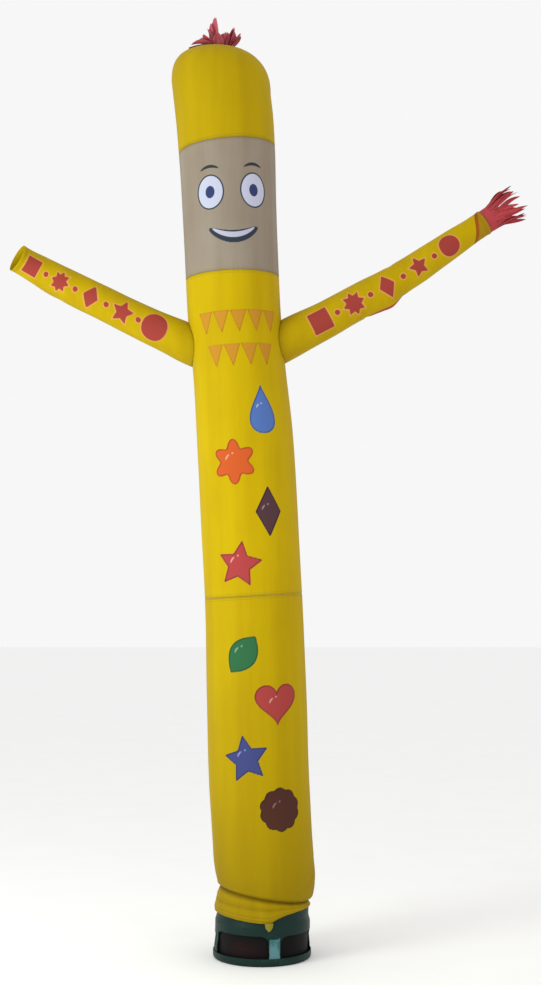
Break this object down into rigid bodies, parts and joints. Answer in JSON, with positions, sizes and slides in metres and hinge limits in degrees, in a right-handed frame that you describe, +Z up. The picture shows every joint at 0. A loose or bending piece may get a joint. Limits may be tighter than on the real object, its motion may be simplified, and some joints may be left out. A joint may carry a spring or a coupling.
{
  "type": "inflatable air dancer on blower base",
  "caption": "Tall waving fabric tube figure with a printed face, two sleeves and red fringes, standing inflated on a low round steel blower.",
  "frame": {"origin": "centre of the blower's foot, on the ground", "axes": "+Z up along the standing figure, -Y the printed front, +X to the right of someone who faces it"},
  "size_m": [2.352, 0.455, 4.221],
  "materials": {
    "yellow_nylon": "satin",
    "beige_nylon": "satin",
    "red_nylon": "satin",
    "pale_webbing": "matte",
    "teal_painted_steel": "semi-gloss",
    "motor_casing": "matte"
  },
  "bodies": {
    "root": {"lower_body": "yellow_nylon", "upper_body": "yellow_nylon", "face_band": "beige_nylon", "head_cap": "yellow_nylon", "right_arm": "yellow_nylon", "left_arm": "yellow_nylon", "hair_fringe": "red_nylon", "hand_fringe": "red_nylon", "strap_tab": "pale_webbing", "blower_drum": "teal_painted_steel", "foot_pan": "teal_painted_steel", "fan_motor": "motor_casing"}
  },
  "joints": []
}
